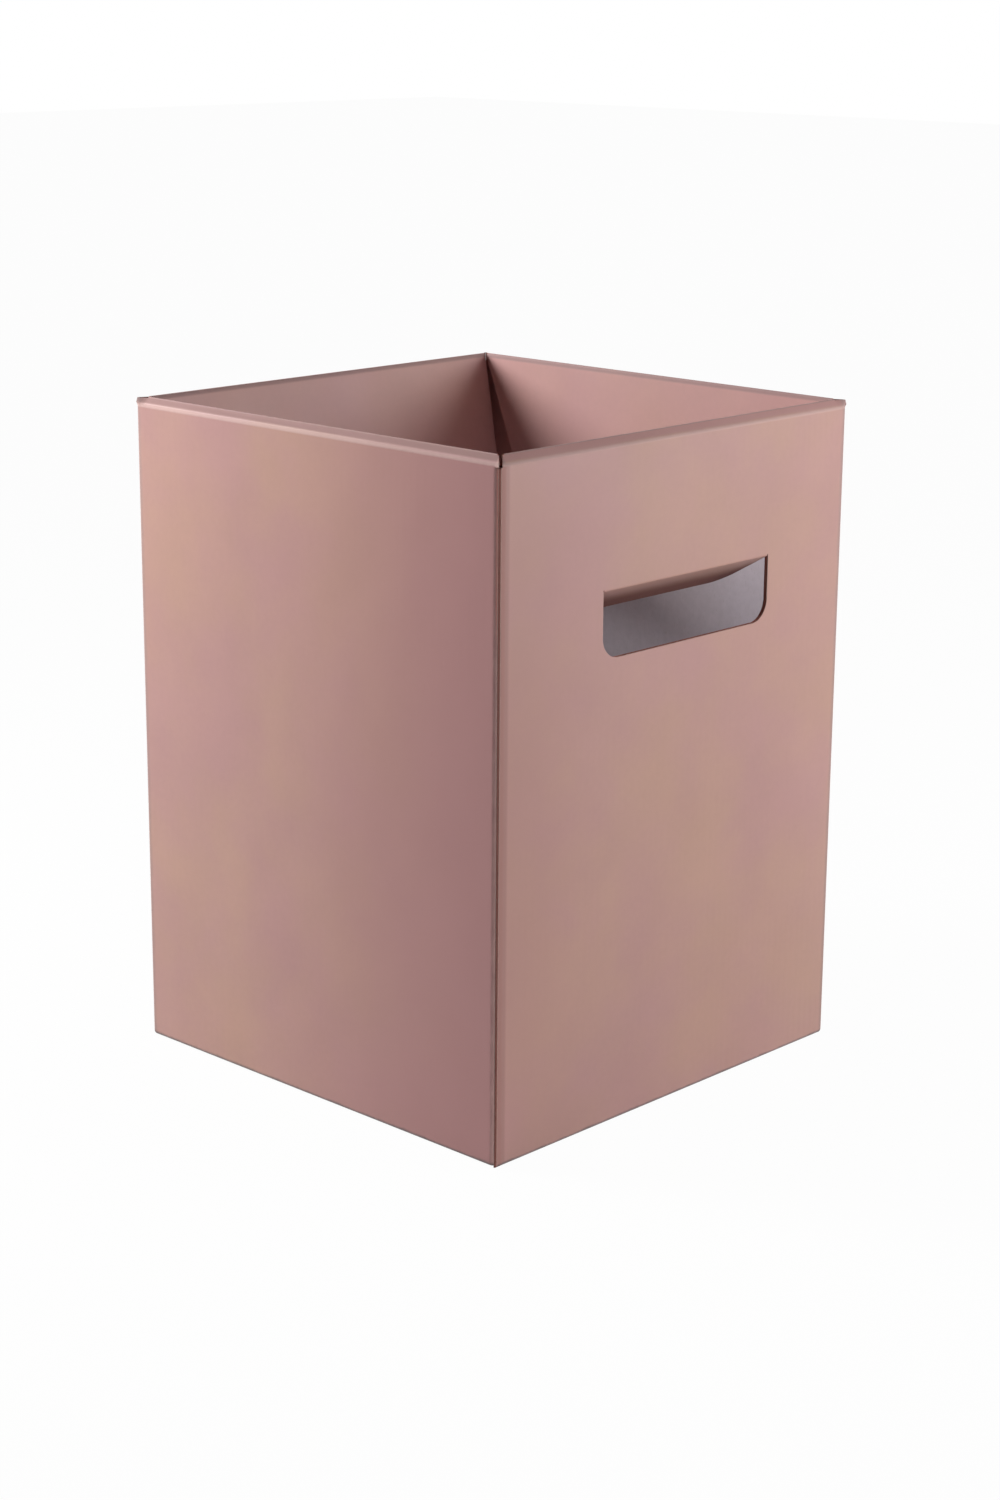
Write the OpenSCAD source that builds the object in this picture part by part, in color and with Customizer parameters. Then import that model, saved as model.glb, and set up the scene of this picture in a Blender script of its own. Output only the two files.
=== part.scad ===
// Open flower carton of thin corrugated board, square in plan and taller than wide.
// One folded and glued sheet makes the four walls, the side seam and the crash-lock base.
// The four top flaps are rolled over two creases each and hang inside the walls.
// Two hand holes have a flap that is pushed inwards and stays joined along its top edge.
// The origin is the centre of the base, on the surface that the carton stands on.
// The front wall, at -Y, and the back wall, at +Y, have the hand holes.

/* [Carton] */
// Outside width, along the walls with the hand holes
box_w = 186; // [150:1:400]
// Outside depth, along the plain walls
box_d = 186; // [150:1:400]
// Height from the base to the top of the rolled rim
box_h = 250; // [160:1:450]
// Thickness of the board
board = 1.6; // [1.2:0.1:2.4]
// Inside radius of the upright folded corners
corner_in = 0.4; // [0.2:0.1:1.5]
// Outside radius of the folds along the base
foot_r = 1.6; // [0.8:0.1:3]

/* [Side seam] */
// Width of the glue tab inside the front wall
tab_w = 30; // [15:1:40]
// Distance from the rim's top down to the top of the glue tab
tab_drop = 16; // [14:1:40]
// Distance from the base up to the bottom of the glue tab
tab_foot = 6; // [5:1:40]
// Slant of the glue tab's two ends
tab_slant = 15; // [0:1:30]
// How far the front wall's cut edge lies behind the left wall's face
seam_set = 0.4; // [0.2:0.1:0.8]

/* [Rolled rim and top flaps] */
// Width of the strip between the rim's two creases
rim_w = 4.3; // [3.6:0.1:7]
// Lean of that strip from upright
rim_tilt = 35; // [30:1:45]
// Outside radius of the rim's lower crease
crease_r = 1.5; // [1:0.1:3]
// How far each strip's end stops short of the mitre at the corner
rim_end = 0.7; // [0.5:0.1:2]
// Length of a top flap from its crease to its free edge
flap_len = 46; // [30:1:70]
// Lean of the two hanging top flaps on the plain walls, away from the wall
plain_lean = 3; // [2:0.5:6]
// Lean of the two hanging top flaps on the walls with hand holes
hand_lean = 14; // [6:0.5:16]
// Slant of the ends of the two top flaps on the plain walls
flap_taper = 24; // [20:1:45]
// Slant that the other two top flaps need, past their neighbours' lean, to swing clear of them
flap_ease = 1; // [0.5:0.5:10]
// Radius of a top flap's two free corners
flap_round = 4; // [1:0.5:10]

/* [Hand holes] */
// Width of a hand hole
slot_w = 90; // [60:1:100]
// Height of a hand hole
slot_h = 24.5; // [20:0.5:40]
// How far the middle of a hand hole lies to the right of its wall's middle, seen from outside
slot_shift = 3.5; // [0:0.5:8]
// Radius of a hand hole's lower corners
slot_r = 8; // [3:0.5:9]
// Distance from the lowest reach of a top flap's free edge down to the hand hole's fold
slot_gap = 5.5; // [5:0.5:40]
// Angle that a hand hole's flap is pushed in by
slot_push = 60; // [30:1:80]

/* [Crash-lock base] */
// Length of each side panel from its wall
side_panel = 42; // [30:1:55]
// Slant of a side panel's ends
side_slant = 20; // [10:1:30]
// Distance from the middle to the end of each locking panel's short half
short_end = 14; // [8:1:30]
// Distance from the middle to the end of each locking panel's hook
hook_end = 42; // [34:1:60]
// Length of the hook's slanted corners
hook_slant = 14; // [4:1:20]
// How far the slanting edge between the two halves runs to each side of the middle
lock_slant = 8; // [2:1:12]
// Width of the scored line across each locking panel's glued corner
score_w = 1.2; // [0.6:0.1:2]

/* [Clearances] */
// Gap between neighbouring edges of the base panels
panel_gap = 0.6; // [0.3:0.1:1.5]
// Gap round a fold's bead
bead_gap = 0.1; // [0.08:0.01:0.15]
// Gap between a turned-in flap and the rim strip that it hangs from
fold_gap = 0.2; // [0.15:0.01:0.4]
// Gap between a top flap's end and the next flap's face
flap_gap = 0.5; // [0.4:0.1:2]
// Gap between a hand hole's edge and its flap
slot_edge = 0.3; // [0.2:0.05:0.6]

/* [Hidden] */

printed = [0.76, 0.61, 0.58];
printed_flap = [0.73, 0.58, 0.55];

SIDES = ["front", "right", "back", "left"];
HAND_SIDES = ["front", "back"];

half_board = board / 2;
bead_cut = half_board + bead_gap;
corner_r = corner_in + board;

// The strip between the creases rises and moves inwards by these
rim_rise = rim_w * cos(rim_tilt);
rim_in = rim_w * sin(rim_tilt);

// Axis of a top flap's fold, from the wall's outer face and from the base
hinge_in = rim_in + half_board * cos(rim_tilt);
hinge_z = box_h - half_board;

// Heights of the strip's upper edge and of the lower crease, and the crease's share of each face
strip_z = hinge_z + half_board * sin(rim_tilt);
crease_z = strip_z - rim_rise;
crease_run = crease_r * tan(rim_tilt / 2);
wall_top = crease_z - crease_run;

// Fold line and lower edge of the hand holes, below the lowest reach of a swinging top flap
slot_top = hinge_z - flap_len - slot_gap;
slot_foot = slot_top - slot_h;
// The hand flap may be lifted this far past level, so the wall is relieved for it
slot_over = 10;
slot_relief = half_board / cos(slot_over) + half_board * tan(slot_over) + bead_gap;

// Length over which a hook lies on the panel that it belongs to
hook_root = 4 * board;

// Cuts run this far past the faces that they open
past = board;
// Rounds reach this far past a face that they would only just touch
hair = 0.005;
// The top flaps' half widths come in whole steps of this, so that bead and flap end together
half_step = 0.05;

$fn = 48;

function has_hand_hole(side) = side == "front" || side == "back";
function side_turn(side) = side == "right" ? 90 : side == "back" ? 180 : side == "left" ? 270 : 0;
function wall_offset(side) = (has_hand_hole(side) ? box_d : box_w) / 2;
function wall_length(side) = has_hand_hole(side) ? box_w : box_d;
function flap_lean(side) = has_hand_hole(side) ? hand_lean : plain_lean;
function next_lean(side) = has_hand_hole(side) ? plain_lean : hand_lean;
function end_slant(side) = has_hand_hole(side) ? plain_lean + flap_ease : flap_taper;

// A top flap's end stays at least this far from the corner, clear of the next flap's face
function flap_side(side) = hinge_in + half_board / cos(next_lean(side)) + flap_gap;
function flap_half(side) = half_step * floor((wall_length(side) / 2 - flap_side(side)) / half_step);

// Puts children that are drawn with x along a wall, y inwards from its outer face and z up
module on_wall(side) {
    rotate([0, 0, side_turn(side)])
        translate([0, -wall_offset(side), 0])
            children();
}

// Runs an outline drawn as (inwards, up) along a wall
module along_wall(run) {
    rotate([90, 0, 90])
        linear_extrude(height = run, center = true)
            children();
}

module rounded_rect(w, d, r) {
    square([w, d - 2 * r], center = true);
    square([w - 2 * r, d], center = true);
    for (sx = [-1, 1], sy = [-1, 1])
        translate([sx * (w / 2 - r), sy * (d / 2 - r)])
            circle(r);
}

// Upright outline with the two lower corners rounded, for the folds along the base
module foot_outline(w) {
    translate([-w / 2, foot_r])
        square([w, box_h]);
    translate([-w / 2 + foot_r, 0])
        square([w - 2 * foot_r, foot_r + past]);
    for (sx = [-1, 1])
        translate([sx * (w / 2 - foot_r), foot_r])
            circle(foot_r);
}

module foot_envelope() {
    intersection() {
        rotate([90, 0, 0])
            linear_extrude(height = box_d + 2 * past, center = true)
                foot_outline(box_w);
        rotate([90, 0, 90])
            linear_extrude(height = box_w + 2 * past, center = true)
                foot_outline(box_d);
    }
}

// Plan of the glued corner: the left wall folds in behind the front wall's cut edge
module seam_plan(root) {
    reach = board + corner_r;
    translate([seam_set, 0])
        square([reach - seam_set + root, board]);
    translate([0, reach])
        square([board, root]);
    translate([corner_r, board])
        square(board);
    translate([corner_r, reach])
        difference() {
            intersection() {
                circle(corner_r);
                translate([-corner_r, -corner_r])
                    square(corner_r);
            }
            circle(corner_in);
        }
}

module wall_plan() {
    root = 2 * board;
    window = board + corner_r + root / 2;
    difference() {
        rounded_rect(box_w, box_d, corner_r);
        rounded_rect(box_w - 2 * board, box_d - 2 * board, corner_in);
        translate([-box_w / 2 - past, -box_d / 2 - past])
            square(window + past);
    }
    translate([-box_w / 2, -box_d / 2])
        seam_plan(root);
}

// Tab of the left wall, glued to the inside of the front wall
module glue_tab() {
    low = tab_foot;
    high = box_h - tab_drop;
    slant = tab_w * tan(tab_slant);
    root = corner_r;
    translate([-box_w / 2, -box_d / 2 + 2 * board, 0])
        rotate([90, 0, 0])
            linear_extrude(height = board)
                polygon([
                    [root, low],
                    [tab_w, low + slant],
                    [tab_w, high - slant],
                    [root, high]
                ]);
}

// Outline of the strip between the rim's creases, thinned where a flap hangs nearest to its wall
module rim_outline() {
    inner_x = rim_in + board * cos(rim_tilt);
    inner_z = strip_z - board * sin(rim_tilt);
    drop = (inner_x - board) / tan(rim_tilt);
    difference() {
        polygon([
            [0, wall_top],
            [0, crease_z],
            [rim_in, strip_z],
            [inner_x, inner_z],
            [board, inner_z - drop],
            [board, wall_top]
        ]);
        difference() {
            polygon([
                [-past, wall_top],
                [-past, crease_z + crease_run],
                [crease_run * sin(rim_tilt), crease_z + crease_run * cos(rim_tilt)],
                [0, wall_top]
            ]);
            translate([crease_r, wall_top])
                circle(crease_r);
        }
        translate([hinge_in, hinge_z]) {
            circle(bead_cut);
            rotate(plain_lean)
                translate([-half_board - fold_gap, -box_h])
                    square(box_h);
        }
    }
}

// The strip's root, inside the wall's thickness and clear of the corners
module rim_root(side) {
    along_wall(wall_length(side) - 2 * (board + corner_r))
        translate([board / 4, wall_top - board / 4])
            square(half_board);
}

module rim_strip(side) {
    half = wall_length(side) / 2;
    deep = 2 * hinge_in;
    rim_root(side);
    intersection() {
        along_wall(2 * half)
            rim_outline();
        translate([0, 0, wall_top - board])
            linear_extrude(height = box_h)
                polygon([
                    [rim_end - half, 0],
                    [half - rim_end, 0],
                    [half - rim_end - deep, deep],
                    [rim_end + deep - half, deep]
                ]);
    }
}

// Outline of a hand hole, drawn as (along the wall, up), with square upper corners
module slot_outline(inset, top) {
    half = slot_w / 2 - inset;
    low = slot_foot + inset;
    r = slot_r - inset;
    translate([-half, low + r])
        square([2 * half, top - low - r]);
    translate([r - half, low])
        square([2 * (half - r), r + past]);
    for (sx = [-1, 1])
        translate([sx * (half - r), low + r])
            circle(r);
}

// The hole through the wall, the seat of the flap's bead and the relief behind it
module slot_cut() {
    translate([0, board + past, 0])
        rotate([90, 0, 0])
            linear_extrude(height = board + 2 * past)
                slot_outline(0, slot_top);
    translate([0, half_board, slot_top])
        rotate([0, 90, 0])
            cylinder(h = slot_w, r = bead_cut, center = true);
    translate([-slot_w / 2, half_board, slot_top - past])
        cube([slot_w, half_board + past, slot_relief + past]);
}

// A locking panel's lower layer, from the front wall, reaching the short end on the right
// The right-hand corner is glued up to the side panel and scored across below
module lock_panel() {
    half_w = box_w / 2 - board - panel_gap;
    wall_y = -box_d / 2 + half_board;
    edge = panel_gap / 2;
    difference() {
        linear_extrude(height = board)
            polygon([
                [-half_w, wall_y],
                [half_w, wall_y],
                [half_w, short_end - edge],
                [lock_slant + edge, short_end - edge],
                [edge - lock_slant, -short_end - edge],
                [-half_w, -short_end - edge]
            ]);
        translate([half_w, -box_d / 2 + board, 0])
            rotate([0, 0, 135])
                rotate([45, 0, 0])
                    cube([side_panel * sqrt(2), score_w / sqrt(2), score_w / sqrt(2)]);
    }
}

// The same panel's hook, which crosses over the facing panel's short half
module lock_hook() {
    outer = box_w / 2 - board - side_panel - panel_gap;
    edge = panel_gap / 2;
    translate([0, 0, board])
        linear_extrude(height = board)
            polygon([
                [-outer, -short_end - hook_root],
                [-edge - lock_slant, -short_end - hook_root],
                [-edge, -short_end + hook_root],
                [-edge, hook_end - hook_slant],
                [-edge - hook_slant, hook_end],
                [hook_slant - outer, hook_end],
                [-outer, hook_end - hook_slant]
            ]);
}

// A side panel from the left wall, glued down on the corner of the panel from the back wall
module side_base_panel() {
    wall_x = -box_w / 2 + half_board;
    end_x = -box_w / 2 + board + side_panel;
    half = box_d / 2 - board - panel_gap;
    cut = side_panel * tan(side_slant);
    translate([0, 0, board])
        linear_extrude(height = board)
            polygon([
                [wall_x, -half],
                [end_x, -half + 2 * cut],
                [end_x, half - cut],
                [wall_x, half]
            ]);
}

module crash_lock_base() {
    for (turn = [0, 180])
        rotate([0, 0, turn]) {
            lock_panel();
            lock_hook();
            side_base_panel();
        }
}

module carton() {
    color(printed) {
        intersection() {
            foot_envelope();
            union() {
                difference() {
                    linear_extrude(height = wall_top)
                        wall_plan();
                    for (side = HAND_SIDES)
                        on_wall(side)
                            translate([slot_shift, 0, 0])
                                slot_cut();
                }
                crash_lock_base();
            }
        }
        for (side = SIDES)
            on_wall(side)
                rim_strip(side);
        glue_tab();
    }
}

// Outline of a top flap, drawn as (along the wall, away from the fold)
// Its ends run square past the fold's bead and slant from there
module flap_outline(half, slant) {
    end = half - (flap_len - half_board) * tan(slant);
    // The round at a free corner touches the free edge and reaches a hair past the slanted end
    centre = [end + hair - flap_round * tan((90 - slant) / 2), flap_len - flap_round];
    reach = flap_round + past;
    difference() {
        polygon([
            [-half, 0],
            [half, 0],
            [half, half_board],
            [end, flap_len],
            [-end, flap_len],
            [-half, half_board]
        ]);
        for (sx = [-1, 1])
            scale([sx, 1])
                difference() {
                    polygon([
                        centre,
                        centre + [0, reach],
                        centre + [reach, reach],
                        centre + reach * [cos(slant), sin(slant)]
                    ]);
                    translate(centre)
                        circle(flap_round);
                }
    }
}

// A top flap with the half-round bead of its fold, which stops just short of the flap's ends
module top_flap(side) {
    half = flap_half(side);
    color(printed_flap)
        on_wall(side)
            translate([0, hinge_in, hinge_z]) {
                rotate([flap_lean(side) - 90, 0, 0])
                    linear_extrude(height = board, center = true)
                        flap_outline(half, end_slant(side));
                rotate([0, 90, 0])
                    cylinder(h = 2 * (half - bead_gap), r = half_board, center = true);
            }
}

// A hand hole's flap, pushed in about its top edge
module hand_flap(side) {
    color(printed_flap)
        on_wall(side)
            translate([slot_shift, half_board, slot_top])
                rotate([slot_push, 0, 0])
                    translate([0, half_board, -slot_top]) {
                        rotate([90, 0, 0])
                            linear_extrude(height = board)
                                slot_outline(slot_edge, slot_top);
                        translate([0, -half_board, slot_top])
                            rotate([0, 90, 0])
                                cylinder(h = slot_w - 2 * slot_edge, r = half_board, center = true);
                    }
}

module top_flap_front() {
    top_flap("front");
}

module top_flap_right() {
    top_flap("right");
}

module top_flap_back() {
    top_flap("back");
}

module top_flap_left() {
    top_flap("left");
}

module hand_flap_front() {
    hand_flap("front");
}

module hand_flap_back() {
    hand_flap("back");
}

carton();
top_flap_front();
top_flap_right();
top_flap_back();
top_flap_left();
hand_flap_front();
hand_flap_back();
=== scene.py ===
import math

import bmesh
import bpy
from bmesh.types import BMEdge, BMFace, BMVert
from bpy.props import FloatProperty, FloatVectorProperty, PointerProperty
from bpy.types import Operator, Panel, PropertyGroup
from mathutils import Matrix, Vector


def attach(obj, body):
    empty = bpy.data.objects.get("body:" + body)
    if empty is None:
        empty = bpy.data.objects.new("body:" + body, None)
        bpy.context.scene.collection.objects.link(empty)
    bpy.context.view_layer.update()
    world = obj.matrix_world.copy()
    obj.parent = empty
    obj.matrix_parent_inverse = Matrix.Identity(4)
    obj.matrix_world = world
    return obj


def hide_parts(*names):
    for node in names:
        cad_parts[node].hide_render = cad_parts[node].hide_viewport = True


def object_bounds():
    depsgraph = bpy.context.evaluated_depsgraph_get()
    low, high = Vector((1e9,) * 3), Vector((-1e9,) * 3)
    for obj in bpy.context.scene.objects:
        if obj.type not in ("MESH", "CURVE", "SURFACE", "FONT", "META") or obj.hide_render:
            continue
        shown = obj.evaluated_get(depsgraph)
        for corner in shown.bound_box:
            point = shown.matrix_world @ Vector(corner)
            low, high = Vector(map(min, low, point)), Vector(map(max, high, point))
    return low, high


bl_info = {
    "name": "Open Flower Carton",
    "version": (1, 0, 0),
    "blender": (4, 5, 0),
    "location": "View3D > Sidebar > Carton",
    "description": "Builds the folded board, the finish and the studio of an open carton with a rolled rim",
    "category": "Object",
}

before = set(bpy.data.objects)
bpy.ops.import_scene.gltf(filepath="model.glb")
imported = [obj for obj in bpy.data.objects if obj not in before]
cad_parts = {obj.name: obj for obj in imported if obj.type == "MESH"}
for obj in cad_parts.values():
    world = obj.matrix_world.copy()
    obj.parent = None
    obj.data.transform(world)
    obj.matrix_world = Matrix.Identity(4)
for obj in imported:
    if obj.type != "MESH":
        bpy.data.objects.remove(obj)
CAD_LOW, CAD_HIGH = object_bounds()

# Quarter turns that bring the front wall, at -Y, to each side
TURNS = {"front": 0, "right": 1, "back": 2, "left": 3}
HOLE_SIDES = ("front", "back")

# The end of a wall's strip, along the wall, that lies at the glued corner
SEAM_ENDS = {"front": -1, "left": 1}

# Material indices on every piece of board
PRINTED, LINER, CORE = range(3)

# The print of each material slot of the record, with the light and shade painted on it
PRINTS = {"board": "Printed Face", "top_flaps": "Printed Top Flap", "hand_flaps": "Printed Hand Flap"}

# Rounding of cut edges: walls and flaps, the base, and the strips' ends by the seam and elsewhere
CUT_EASE, BASE_EASE, SEAM_EASE, MITRE_EASE = 0.00012, 0.00015, 0.0007, 0.0001

# How far from a strip's corner its end's short edges are looked for
END_REACH = 0.02

# How far from the seam the painted shade towards the near corner starts, at the end of the sheet and at its
# start
LATE_SHADE_RUN, EARLY_SHADE_RUN = 0.13, 0.06

# Two places this close are the same
SAME = 1e-6

# Cut edges turn more than the first angle, and edges that turn less than the second are shaded smooth
CUT_TURN, SMOOTH_TURN = math.radians(50), math.radians(32)

# A strip's drawn-out end: where it is cut across, in shares of its run, and the share of its inset given up
HORN_CUTS, HORN_SHARE = (1.0, 0.88, 0.76, 0.64, 0.52, 0.40, 0.28, 0.20), 0.8

# The point attribute with the place on the flat sheet: along the wall, up the wall, and depth in the board
SHEET = "sheet"


def number(name, description, default, **more):
    return FloatProperty(name=name, description=description, default=default, **more)


def length(name, description, default):
    return number(name, description, default, unit="LENGTH", subtype="DISTANCE", precision=5)


def angle(name, description, default):
    return number(name, description, math.radians(default), unit="ROTATION", subtype="ANGLE")


def colour(name, description, default):
    return FloatVectorProperty(
        name=name, description=description, default=default, size=3, min=0.0, max=1.0, subtype="COLOR"
    )


class CartonSizes(PropertyGroup):
    """Sizes of the folded sheet"""

    width: length("Width", "Outside width along the walls with hand holes", CAD_HIGH.x - CAD_LOW.x)
    depth: length("Depth", "Outside depth along the plain walls", CAD_HIGH.y - CAD_LOW.y)
    height: length("Height", "From the base to the top of the rolled rim", 0.25)
    board: length("Board", "Thickness of the fluted board", 0.0016)
    corner_radius: length("Corner Radius", "Outside radius of the upright folds", 0.002)
    foot_radius: length("Foot Radius", "Outside radius of the folds along the base", 0.0016)
    seam_set: length("Seam Set", "How far the front wall's cut edge lies behind the left wall's face", 0.0004)
    tab_width: length("Tab Width", "Width of the glue tab inside the front wall", 0.030)
    tab_drop: length("Tab Drop", "From the rim's top down to the glue tab", 0.018)
    tab_foot: length("Tab Foot", "From the base up to the glue tab", 0.006)
    tab_slant: angle("Tab Slant", "Slant of the glue tab's two ends", 15)
    fold_in: length("Fold Inset", "From a wall's outer face in to the fold of its top flap", 0.0031217)
    rim_tilt: angle("Rim Tilt", "Lean from upright of the strip between the rim's two creases", 43)
    crease_radius: length("Crease Radius", "Outside radius of the rim's lower crease", 0.0013)
    seam_end: length("Seam End", "How far a strip's end stops short of the mitre at the glued corner", 0.0007)
    rim_end: length("Rim End", "How far a strip's end stops short of the mitre at the other corners", 0.00006)
    horn_run: length("Horn Run", "Length over which a strip's top draws out to the corner", 0.005)
    flap_length: length("Flap Length", "Length of a top flap", 0.046)
    plain_lean: angle("Plain Lean", "Lean of the hanging top flaps on the plain walls", 3)
    hand_lean: angle("Hand Lean", "Lean of the hanging top flaps on the walls with hand holes", 14)
    flap_taper: angle("Flap Taper", "Slant of the ends of the flaps on the plain walls", 24)
    flap_ease: angle("Flap Ease", "Slant that the other flaps' ends have past their neighbours' lean", 1)
    flap_round: length("Flap Round", "Radius of a top flap's free corners", 0.004)
    flap_gap: length("Flap Gap", "Gap between a top flap's end and the next flap's face", 0.0005)
    fold_gap: length("Fold Gap", "Gap between a hanging flap and its rim strip", 0.0002)
    hole_width: length("Hole Width", "Width of a hand hole", 0.090)
    hole_height: length("Hole Height", "Height of a hand hole", 0.0245)
    hole_shift: length("Hole Shift", "How far a hand hole lies to the right of its wall's middle", 0.0035)
    hole_radius: length("Hole Radius", "Radius of a hand hole's lower corners", 0.008)
    hole_gap: length("Hole Gap", "From a swinging top flap's lowest reach down to the hand hole", 0.0055)
    hole_edge: length("Hole Edge", "Gap between a hand hole's edge and its flap", 0.0003)
    hole_push: angle("Hole Push", "Angle that a hand hole's flap is pushed in by", 60)
    side_panel: length("Side Panel", "Length of each side panel of the base", 0.042)
    side_slant: angle("Side Slant", "Slant of a side panel's ends", 20)
    short_end: length("Short End", "From the middle to the end of a locking panel's short half", 0.014)
    hook_end: length("Hook End", "From the middle to the end of a locking panel's hook", 0.042)
    hook_slant: length("Hook Slant", "Length of a hook's slanted corners", 0.014)
    lock_slant: length("Lock Slant", "How far the slanting edge between the halves runs to each side", 0.008)
    score_width: length("Score Width", "Width of the scored line across a glued corner", 0.0012)
    panel_gap: length("Panel Gap", "Gap between neighbouring edges of the base panels", 0.0006)


class CartonFinish(PropertyGroup):
    """Colours and paper of the board"""

    print_colour: colour("Print", "Laminated print of the outer face", (0.582, 0.321, 0.300))
    print_drift: colour("Print Drift", "Laminated print in its soft patches", (0.602, 0.353, 0.277))
    # Painted shade: the print darkens towards the seam at the near corner, where less light falls
    seam_shade_colour: colour("Seam Print", "Laminated print of the walls at the seam", (0.522, 0.262, 0.256))
    # Painted light: the top flaps carry a lighter, cooler copy of the walls' print
    flap_lit_colour: colour("Flap Print", "Laminated print of the top flaps", (0.637, 0.378, 0.362))
    flap_lit_drift: colour("Flap Drift", "Print of the top flaps in its soft patches", (0.650, 0.392, 0.348))
    # The strips' print; the plain walls' strips take a darker copy, painted shade
    strip_colour: colour("Strip", "Pressed print of the strips above the hand holes", (0.600, 0.335, 0.315))
    plain_strip_shade: colour("Plain Strip", "Pressed print of the plain walls' strips", (0.440, 0.262, 0.246))
    # Painted shade: a darker band on the front wall beside its cut edge
    edge_shade_colour: colour("Edge Rub", "Rubbed print along the front wall's cut edge", (0.450, 0.230, 0.205))
    # Stretched print on the seam's fold, made paler with painted light against the fold's shade
    seam_fold_lit: colour("Seam Fold", "Stretched print along the fold at the seam", (0.900, 0.590, 0.540))
    # Dulled print with painted shade along the other upright folds
    fold_shade_colour: colour("Fold", "Dulled print along the other upright folds", (0.400, 0.310, 0.300))
    roll_colour: colour("Roll", "Dulled print where the top flaps roll over the rim", (0.340, 0.255, 0.255))
    # Painted shade: the hand flap darkens towards its free edge, deep in the hole
    tuck_shade_colour: colour("Tuck", "Rubbed print at the free edge of a hand hole's flap", (0.230, 0.100, 0.082))
    # Painted highlight along the rim's lower crease, partly stretched print
    crease_highlight_colour: colour("Crease", "Stretched print along the rim's lower crease", (0.800, 0.570, 0.530))
    # Painted contact shadow along the base
    foot_shadow_colour: colour("Foot", "Rubbed print along the base", (0.110, 0.085, 0.085))
    liner_colour: colour("Liner", "Bare paper of the inner face", (0.640, 0.590, 0.640))
    liner_drift: colour("Liner Drift", "Bare paper in its soft patches", (0.600, 0.545, 0.575))
    # Painted shade: the pink-lit shade in the narrow corners behind the flaps
    nook_shade_colour: colour("Nook", "Bare paper in the narrow corners behind the flaps", (0.700, 0.300, 0.250))
    flute_shade: colour("Flute Shade", "Bare paper over the flutes' crests", (0.42, 0.40, 0.40))
    fleck_colour: colour("Fleck", "Darker fibres in the bare paper", (0.40, 0.36, 0.33))
    core_colour: colour("Core", "Paper of the fluted core where the board is cut", (0.480, 0.220, 0.180))
    edge_colour: colour("Liner Edge", "The two liners where the board is cut", (0.480, 0.330, 0.290))
    fuzz_colour: colour("Fuzz", "Torn fibres where the board is cut", (0.50, 0.42, 0.37))
    void_colour: colour("Void", "Shade inside the flutes", (0.400, 0.150, 0.125))
    flute_pitch: length("Flute Pitch", "From one flute to the next", 0.0034)
    satin: number("Satin", "Roughness of the laminated print", 0.42, min=0.0, max=1.0)


class StageLook(PropertyGroup):
    """Light, floor and camera"""

    floor_colour: colour("Floor", "Pale floor", (0.72, 0.72, 0.72))
    left_power: number("Left Lamp", "Power of the soft lamp on the left", 7.3)
    right_power: number("Right Lamp", "Power of the soft lamp on the right", 2.4)
    low_power: number("Low Lamp", "Power of the low lamp on the right", 1.5)
    sky: number("Sky", "Strength of the even light from all round", 0.02, min=0.0)
    lens: number("Lens", "Focal length for the long side of the picture", 67.851)


class Layout:
    """Heights and insets that follow from the sizes"""

    def __init__(self, sizes):
        half = sizes.board / 2
        tilt = sizes.rim_tilt
        self.half_board = half
        self.hinge_in = sizes.fold_in
        self.rim_in = self.hinge_in - half * math.cos(tilt)
        self.hinge_z = sizes.height - half
        self.strip_z = self.hinge_z + half * math.sin(tilt)
        self.crease_z = self.strip_z - self.rim_in / math.tan(tilt)
        self.crease_run = sizes.crease_radius * math.tan(tilt / 2)
        # The rim's piece starts half of the crease's run below its rounding
        self.wall_top = self.crease_z - 1.5 * self.crease_run
        self.hole_top = self.hinge_z - sizes.flap_length - sizes.hole_gap
        self.hole_foot = self.hole_top - sizes.hole_height


def wall_length(sizes, side):
    return sizes.width if side in HOLE_SIDES else sizes.depth


def flap_lean(sizes, side):
    return sizes.hand_lean if side in HOLE_SIDES else sizes.plain_lean


def hole_middle(sizes, side):
    """Where the middle of a hand hole lies along X"""
    return sizes.hole_shift if side == "front" else -sizes.hole_shift


def wall_matrix(sizes, side):
    """From a wall's own axes, along it, inwards from its outer face and up, to the carton's"""
    offset = (sizes.depth if side in HOLE_SIDES else sizes.width) / 2
    return Matrix.Rotation(math.pi / 2 * TURNS[side], 4, "Z") @ Matrix.Translation((0, -offset, 0))


def only(geom, kind):
    return [g for g in geom if isinstance(g, kind)]


def all_of(faces):
    """The faces with their edges and vertices, for the operators that take geometry"""
    edges = dict.fromkeys(e for f in faces for e in f.edges)
    verts = dict.fromkeys(v for f in faces for v in f.verts)
    return [*faces, *edges, *verts]


def whole(bm):
    return [*bm.verts, *bm.edges, *bm.faces]


def bisect(bm, geom, point, normal, **more):
    """Cuts the geometry with a plane"""
    return bmesh.ops.bisect_plane(bm, geom=geom, dist=1e-7, plane_co=point, plane_no=normal, **more)


def to_mesh(bm, name):
    mesh = bpy.data.meshes.new(name)
    bm.to_mesh(mesh)
    bm.free()
    return mesh


def show(name, data):
    """An object in the scene"""
    made = bpy.data.objects.new(name, data)
    bpy.context.scene.collection.objects.link(made)
    return made


def join(merged, bm):
    """Adds a finished form to a larger one and frees it"""
    mesh = to_mesh(bm, "part")
    merged.from_mesh(mesh)
    bpy.data.meshes.remove(mesh)


def cut_opening(bm, faces, planes):
    """Cuts a convex opening, given by the planes of its sides, through flat faces"""
    inside = list(faces)
    for point, normal in planes:
        parts = only(bisect(bm, all_of(inside), point, normal)["geom"], BMFace)
        inside = [f for f in parts if (f.calc_center_median() - point).dot(normal) < 0]
    bmesh.ops.delete(bm, geom=inside, context="FACES")


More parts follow.
